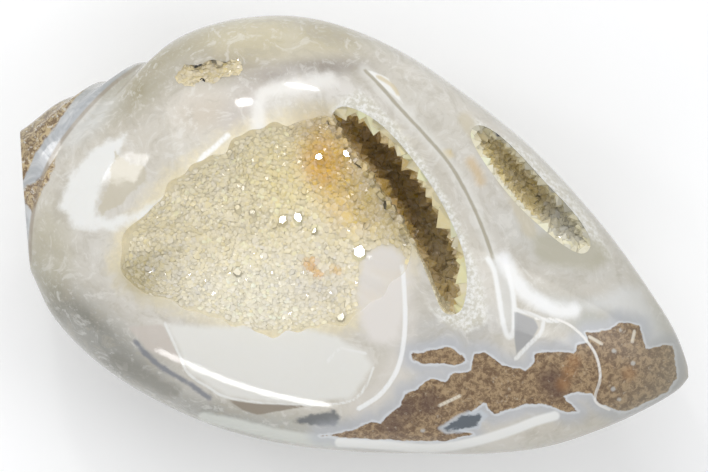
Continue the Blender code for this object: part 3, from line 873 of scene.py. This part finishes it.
def ramp(tree, value, low, high, start=0.0, end=1.0):
    """Smooth step of a value from low to high."""
    made = node(tree, "ShaderNodeMapRange", interpolation_type="SMOOTHSTEP")
    tree.links.new(value, made.inputs["Value"])
    made.inputs["From Min"].default_value = low
    made.inputs["From Max"].default_value = high
    made.inputs["To Min"].default_value = start
    made.inputs["To Max"].default_value = end
    return made.outputs[0]


def blend_colour(tree, factor, below, above):
    made = node(tree, "ShaderNodeMix", data_type="RGBA")
    for socket, value in zip((made.inputs["Factor"], made.inputs[6], made.inputs[7]), (factor, below, above)):
        if isinstance(value, (int, float)):
            socket.default_value = value
        elif isinstance(value, tuple):
            socket.default_value = (*value, 1.0)
        else:
            tree.links.new(value, socket)
    return made.outputs[2]


def toned(tree, colour):
    """Colour brought to the level of the light on the stone."""
    made = node(tree, "ShaderNodeMix", data_type="RGBA", blend_type="MULTIPLY")
    made.inputs["Factor"].default_value = 1.0
    tree.links.new(colour, made.inputs[6])
    made.inputs[7].default_value = (STONE_TONE, STONE_TONE, STONE_TONE, 1.0)
    return made.outputs[2]


def grain(tree, scale, detail=3.0, roughness=0.55, distortion=0.0):
    """Noise over the object, its scale in features per mm."""
    place = node(tree, "ShaderNodeTexCoord")
    made = node(tree, "ShaderNodeTexNoise", Scale=scale / MM, Detail=detail, Roughness=roughness,
                Distortion=distortion)
    tree.links.new(place.outputs["Object"], made.inputs["Vector"])
    return made.outputs["Fac"]


def centred(tree, value, size):
    """Noise shifted to lie around zero, with its size in mm."""
    return arithmetic(tree, "MULTIPLY", arithmetic(tree, "SUBTRACT", value, 0.5), size)


def shell_material():
    """Polished chalcedony: soft colour fields, then the zones of the face laid one on another."""
    made, tree, shader = material("chalcedony")
    cloud = grain(tree, 0.09, 4.0, 0.5, 0.6)
    veil = grain(tree, 0.22, 5.0, 0.6, 1.2)
    fine = grain(tree, 0.9, 5.0, 0.6)
    speck = grain(tree, 2.2, 4.0, 0.65)
    height = number(tree, "height")
    top = ramp(tree, height, EQUATOR - 1.0, EQUATOR + 1.0)
    colour = attribute(tree, "tint").outputs["Color"]
    colour = blend_colour(tree, ramp(tree, cloud, 0.40, 0.62, 0.0, 0.30), colour, (0.76, 0.74, 0.70))
    colour = blend_colour(tree, ramp(tree, veil, 0.48, 0.68, 0.0, 0.42), colour, (0.46, 0.42, 0.34))
    wisp = grain(tree, 0.35, 6.0, 0.65, 2.2)
    colour = blend_colour(tree, ramp(tree, wisp, 0.52, 0.64, 0.0, 0.40), colour, (0.82, 0.80, 0.75))
    colour = blend_colour(tree, ramp(tree, wisp, 0.46, 0.36, 0.0, 0.30), colour, (0.48, 0.44, 0.35))
    colour = blend_colour(tree, ramp(tree, speck, 0.50, 0.75, 0.0, 0.18), colour, (0.84, 0.82, 0.76))

    below = arithmetic(tree, "SUBTRACT", 1.0, top)
    rings = node(tree, "ShaderNodeTexWave", wave_type="BANDS", bands_direction="X", Scale=0.16 / MM,
                 Distortion=2.5, Detail=4.0)
    rings.inputs["Detail Scale"].default_value = 1.5
    tree.links.new(node(tree, "ShaderNodeTexCoord").outputs["Object"], rings.inputs["Vector"])
    ring = ramp(tree, rings.outputs["Fac"], 0.2, 0.8)
    back = blend_colour(tree, ring, (0.40, 0.36, 0.27), (0.60, 0.57, 0.49))
    colour = blend_colour(tree, arithmetic(tree, "MULTIPLY", below, 0.55), colour, back)

    def cover(mask, tint):
        """Lays a tint on the polished face by a mask."""
        return blend_colour(tree, arithmetic(tree, "MULTIPLY", mask, top), colour, tint)

    def outside_of(name):
        return arithmetic(tree, "MULTIPLY", number(tree, name), -1.0)

    def lay(distance, low, high, tint, strength=1.0):
        """Lays a tint that is full below the low distance and gone above the high one."""
        return cover(ramp(tree, distance, low, high, strength, 0.0), tint)

    def ragged(distance, size):
        """Distance made uneven by noise."""
        return arithmetic(tree, "ADD", distance, centred(tree, fine, size * 2))

    druse = attribute(tree, "druse_tint").outputs["Color"]
    druse = blend_colour(tree, ramp(tree, speck, 0.35, 0.65, 0.30, 0.0), druse, (0.58, 0.52, 0.38))
    near = ramp(tree, ragged(number(tree, "rim"), 1.4), -0.5, 2.4, 0.85, 0.0)
    colour = cover(near, druse)
    crust = blend_colour(tree, ramp(tree, speck, 0.36, 0.66), (0.66, 0.63, 0.53), (0.91, 0.90, 0.86))
    for name, kind, _, half_width, softness, rough_edge, tint, strength in LAYERS:
        tint = crust if name in CRUST_LAYERS else tint
        if kind == "area":
            distance, low, high = outside_of(name), -softness, softness / 2
        else:
            distance, low, high = number(tree, name), half_width, half_width + softness
        colour = lay(ragged(distance, rough_edge), low, high, tint, strength)

    sediment = ragged(number(tree, "sediment"), 0.35)
    outside = arithmetic(tree, "MULTIPLY", sediment, -1.0)
    colour = lay(outside, 0.3, 1.9, (0.50, 0.52, 0.56), 0.7)
    colour = lay(outside, 0.06, 0.30, (0.78, 0.80, 0.82), 0.6)
    silt = grain(tree, 1.7, 6.0, 0.75, 0.4)
    brown = blend_colour(tree, ramp(tree, silt, 0.40, 0.62), (0.17, 0.10, 0.05), (0.44, 0.31, 0.17))
    dark = ramp(tree, number(tree, "dark_mud"), 0.3, 2.0, 0.7, 0.0)
    brown = blend_colour(tree, dark, brown, (0.10, 0.05, 0.035))
    rust = ramp(tree, number(tree, "rust"), 0.2, 1.2, 0.40, 0.0)
    brown = blend_colour(tree, rust, brown, (0.46, 0.22, 0.07))
    brown = blend_colour(tree, ramp(tree, speck, 0.60, 0.70, 0.0, 0.55), brown, (0.52, 0.45, 0.34))
    mud = arithmetic(tree, "MULTIPLY", ramp(tree, sediment, -0.04, 0.10), top)
    colour = blend_colour(tree, mud, colour, brown)
    inclusion = ragged(number(tree, "inclusions"), 0.25)
    colour = lay(inclusion, 0.12, 0.34, (0.60, 0.60, 0.58), 0.7)
    colour = lay(number(tree, "needles"), 0.08, 0.24, (0.84, 0.78, 0.66), 0.8)
    blue = outside_of("blue_pocket")
    colour = lay(ragged(blue, 0.4), -0.1, 0.25, (0.60, 0.64, 0.68), 0.8)
    colour = lay(ragged(blue, 0.7), -0.45, -0.10, (0.07, 0.09, 0.11), 0.9)
    colour = lay(outside_of("panel"), -0.2, 0.05, (0.38, 0.38, 0.38), 0.9)
    colour = lay(ragged(number(tree, "veins"), 0.08), 0.10, 0.30, (0.86, 0.86, 0.84), 0.85)
    colour = lay(number(tree, "arc"), 0.07, 0.20, (0.92, 0.90, 0.86), 0.85)
    # painted reflection of a strip light along the lower rim
    colour = lay(number(tree, "strip_reflection"), 0.30, 0.65, (0.90, 0.90, 0.87), 0.95)

    fibre = grain(tree, 1.3, 5.0, 0.7, 1.5)
    golden = blend_colour(tree, ramp(tree, fibre, 0.40, 0.60), (0.17, 0.085, 0.025), (0.62, 0.47, 0.25))
    golden = blend_colour(tree, ramp(tree, speck, 0.56, 0.66, 0.0, 0.8), golden, (0.84, 0.80, 0.72))
    banded = blend_colour(tree, ramp(tree, veil, 0.42, 0.58), (0.44, 0.46, 0.48), (0.66, 0.67, 0.68))
    between = ramp(tree, number(tree, "suture"), 0.0, 0.3)
    colour = cover(between, banded)
    colour = lay(ragged(outside_of("gold_patch"), 0.4), -0.2, 0.15, golden, 0.9)
    spire = ramp(tree, ragged(number(tree, "spire_edge"), 0.3), 0.0, 0.3)
    colour = cover(spire, golden)
    suture_off = arithmetic(tree, "ABSOLUTE", number(tree, "suture"), 0.0)
    colour = lay(suture_off, 0.08, 0.30, (0.30, 0.24, 0.18), 0.6)

    # Painted shade: the face darkens toward its rim, where it turns away from the light
    edge_shade = ramp(tree, height, EQUATOR + 0.3, EQUATOR + 5.5, 0.5, 0.0)
    colour = blend_colour(tree, edge_shade, colour, (0.30, 0.29, 0.23))
    inside = ramp(tree, number(tree, "depth"), 0.02, 0.15)
    colour = blend_colour(tree, inside, colour, druse)
    slab = ramp(tree, ragged(number(tree, "slab"), 0.5), -0.8, 0.5)
    colour = cover(slab, SLAB_TINT)
    # Painted reflection: the bright bar laid again over the slab tint
    bar = ramp(tree, number(tree, "bar"), 0.10, 0.32, 0.9, 0.0)
    colour = cover(bar, (0.93, 0.93, 0.91))

    tree.links.new(toned(tree, colour), shader.inputs["Base Color"])
    tree.links.new(ramp(tree, mud, 0.0, 1.0, 0.07, 0.22), shader.inputs["Roughness"])
    shader.inputs["IOR"].default_value = QUARTZ_IOR
    shader.inputs["Subsurface Weight"].default_value = 0.30
    shader.inputs["Subsurface Radius"].default_value = (1.0, 0.9, 0.75)
    shader.inputs["Subsurface Scale"].default_value = 1.0 * MM
    bump = node(tree, "ShaderNodeBump", Strength=0.10, Distance=0.2 * MM)
    tree.links.new(veil, bump.inputs["Height"])
    tree.links.new(bump.outputs["Normal"], shader.inputs["Normal"])
    return made


def druse_material():
    """Translucent crystals: light spreads inside them, so the body is shaded by the wall they
    stand on and only the clear outer skin by their facets."""
    made, tree, shader = material("druse")
    colour = attribute(tree, "tint").outputs["Color"]
    fine = grain(tree, 3.0, 3.0, 0.6)
    colour = blend_colour(tree, ramp(tree, fine, 0.4, 0.7, 0.0, 0.25), colour, (0.92, 0.90, 0.84))
    tree.links.new(toned(tree, colour), shader.inputs["Base Color"])
    wall = node(tree, "ShaderNodeVectorTransform", vector_type="NORMAL", convert_from="OBJECT",
                convert_to="WORLD")
    tree.links.new(attribute(tree, "wall").outputs["Vector"], wall.inputs[0])
    facet = node(tree, "ShaderNodeNewGeometry")
    spread_normal = node(tree, "ShaderNodeMix", data_type="VECTOR")
    spread_normal.inputs["Factor"].default_value = BODY_SMOOTHING
    tree.links.new(facet.outputs["Normal"], spread_normal.inputs[4])
    tree.links.new(wall.outputs[0], spread_normal.inputs[5])
    unit = node(tree, "ShaderNodeVectorMath", operation="NORMALIZE")
    tree.links.new(spread_normal.outputs[1], unit.inputs[0])
    tree.links.new(unit.outputs[0], shader.inputs["Normal"])
    shader.inputs["Roughness"].default_value = 0.45
    shader.inputs["Specular IOR Level"].default_value = 0.15
    shader.inputs["Coat Weight"].default_value = 1.0
    shader.inputs["Coat Roughness"].default_value = 0.04
    shader.inputs["Coat IOR"].default_value = QUARTZ_IOR
    return made


def floor_material():
    made, tree, shader = material("studio_floor")
    mottle = grain(tree, 0.004, 2.0, 0.5)
    colour = blend_colour(tree, mottle, (0.95, 0.95, 0.95), (0.97, 0.97, 0.97))
    tree.links.new(colour, shader.inputs["Base Color"])
    shader.inputs["Roughness"].default_value = 0.9
    shader.inputs["Specular IOR Level"].default_value = 0.1
    return made


# Light and camera
LENS_MM = 520.0
SENSOR_MM = 36.0
VIEW_WIDTH = 70.8
VIEW_CENTRE = (-0.556, 1.345)
VIEW_TURN = 17.5
FACE_LEVEL = 26.0
LIGHTS = [
    # name, azimuth from +X, elevation, distance, width, height, radiance
    ("key", 125, 48, 400, 300, 300, 1.6),
    ("left_window", 172, 40, 380, 50, 90, 6.0),
    ("front_strip", 268, 24, 360, 220, 30, 9.0),
    ("right_fill", 10, 50, 400, 120, 200, 2.2),
    ("spark", 125, 48, 380, 20, 20, 60.0),
    ("spark_right", 100, 40, 380, 60, 12, 30.0),
]


def add_light(name, azimuth, elevation, distance, width, height, radiance):
    """Softbox that looks at the middle of the face."""
    aim = Vector((0, 0, 20.0)) * MM
    a, e = math.radians(azimuth), math.radians(elevation)
    place = aim + Vector((math.cos(a) * math.cos(e), math.sin(a) * math.cos(e), math.sin(e))) * distance * MM
    lamp = bpy.data.lights.new(name, "AREA")
    lamp.shape = "RECTANGLE"
    lamp.size = width * MM
    lamp.size_y = height * MM
    lamp.energy = radiance * math.pi * lamp.size * lamp.size_y
    obj = bpy.data.objects.new(name, lamp)
    obj.location = place
    obj.rotation_euler = (aim - place).to_track_quat("-Z", "Y").to_euler()
    obj.visible_camera = False
    bpy.context.scene.collection.objects.link(obj)


def add_world():
    world = bpy.data.worlds.new("studio")
    world.use_nodes = True
    world.node_tree.nodes["Background"].inputs["Color"].default_value = (0.97, 0.98, 1.0, 1.0)
    world.node_tree.nodes["Background"].inputs["Strength"].default_value = 0.74
    bpy.context.scene.world = world


def add_camera():
    """Long lens straight above the polished face, turned as the fossil lies in the frame."""
    camera = bpy.data.cameras.new("camera")
    camera.lens = LENS_MM
    camera.sensor_width = SENSOR_MM
    camera.clip_end = 10.0
    obj = bpy.data.objects.new("camera", camera)
    distance = LENS_MM / SENSOR_MM * VIEW_WIDTH
    obj.location = Vector((*VIEW_CENTRE, FACE_LEVEL + distance)) * MM
    obj.rotation_euler = (0.0, 0.0, math.radians(VIEW_TURN))
    bpy.context.scene.collection.objects.link(obj)
    bpy.context.scene.camera = obj


def add_floor():
    bpy.ops.mesh.primitive_plane_add(size=3.0, location=(0, 0, -0.0002))
    floor = bpy.context.object
    floor.name = "studio_floor"
    floor.data.materials.append(floor_material())
    return floor


def open_hollows(shell, face_height):
    cut(shell, dish("dish_cutter", face_height, DISH_DETAIL))
    cut(shell, trench("slit_cutter", SLIT_LINE, SLIT_HALF_WIDTH, SLIT_DEPTH, SLIT_TOP, SLIT_WALL,
                      TRENCH_DETAIL))
    cut(shell, trench("outer_cutter", OUTER_LINE, OUTER_HALF_WIDTH, OUTER_DEPTH, OUTER_TOP, OUTER_WALL,
                      TRENCH_DETAIL))
    cut(shell, trench("shoulder_cutter", SHOULDER_LINE, SHOULDER_HALF_WIDTH, SHOULDER_DEPTH, SHOULDER_TOP,
                      0.0, SHOULDER_DETAIL, face_height))
    shell.data.shade_smooth()
    shell.data.set_sharp_from_angle(angle=math.radians(SHARP_ANGLE))


def crystal_places(shell, on_wall, rng):
    """Places and wall normals for crystals: fewer toward the dish's rim, none on the slab."""
    place, wall = wall_samples(shell, on_wall, SAMPLES, rng)
    cover = smooth_step(-rim_distance(place), 0.1, RIM_FADE)
    on_shoulder = segment_distance(place, SHOULDER_LINE)[0] < SHOULDER_HALF_WIDTH + 1.0
    cover = np.where(on_shoulder, SHOULDER_COVER, cover)
    off_dish = segment_distance(place, dense(SLIT_LINE))[0] < SLIT_HALF_WIDTH
    off_dish |= segment_distance(place, dense(OUTER_LINE))[0] < OUTER_HALF_WIDTH + OUTER_MARGIN
    free = (outline_distance(place, SLAB) < SLAB_EDGE) & (off_dish | (rng.random(len(place)) < cover))
    return place[free], wall[free]


def grow_crystals(shell, on_wall, face_height, rng):
    """The crusts of the main and the outer hollow."""
    place, wall = crystal_places(shell, on_wall, rng)
    depth = face_height(place[:, 0], place[:, 1]) - place[:, 2]
    in_slit, in_outer = hollow_masks(place, depth)
    size = crystal_sizes(place, depth, in_slit, in_outer) * rng.uniform(*SPACING_RANGE, len(place))
    kept = spread(place, size)
    place, wall, depth, size = place[kept], wall[kept], depth[kept], size[kept]
    in_slit, in_outer = in_slit[kept], in_outer[kept]
    axis = wall + rng.normal(0, TILT, place.shape)
    steep = np.where(in_slit | in_outer, STEEP, GENTLE)
    height = size * steep * rng.uniform(*HEIGHT_RANGE, len(place))
    radius = size * WIDTH
    flat = np.zeros(len(place), bool)
    too_low = np.where(place[:, 2] < GLINT_FLOOR, 9.0, 0.0)
    for x, y, width in GLINTS:
        nearest = np.argmin(np.hypot(place[:, 0] - x, place[:, 1] - y) + too_low)
        axis[nearest] = GLINT_NORMAL
        radius[nearest] = width / 2 / GLINT_WIDTH
        height[nearest] = GLINT_HEIGHT
        flat[nearest] = True
    axis /= np.linalg.norm(axis, axis=1)[:, None]
    colours = vary(crystal_colours(place, depth, in_slit, in_outer), rng)
    crusts = []
    for name, mask in (("main_druse", ~in_outer), ("outer_druse", in_outer)):
        crust = crystal_mesh(name, place[mask], wall[mask], axis[mask], radius[mask], height[mask],
                             colours[mask], flat[mask], face_height, rng)
        crusts.append(crust)
    return crusts


def main():
    rng = np.random.default_rng(SEED)
    shell = shell_body()
    whole = shell.copy()
    whole.data = shell.data.copy()
    bpy.context.scene.collection.objects.link(whole)
    face_height = Height(whole)
    open_hollows(shell, face_height)
    on_wall = wall_vertices(shell, whole)
    bpy.data.objects.remove(whole, do_unlink=True)
    mark_shell(shell, on_wall, face_height)
    shell.data.materials.clear()
    shell.data.materials.append(shell_material())
    main_druse, outer_druse = grow_crystals(shell, on_wall, face_height, rng)
    skin = druse_material()
    for crust in (main_druse, outer_druse):
        crust.data.materials.append(skin)
        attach(crust, "root")
    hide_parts("main_hollow_crystals")
    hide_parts("outer_hollow_crystals")
    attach(shell, "root")
    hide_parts("chalcedony_shell")

    add_floor()
    for light in LIGHTS:
        add_light(*light)
    add_world()
    add_camera()
    bpy.context.scene.view_settings.view_transform = "Standard"


main()
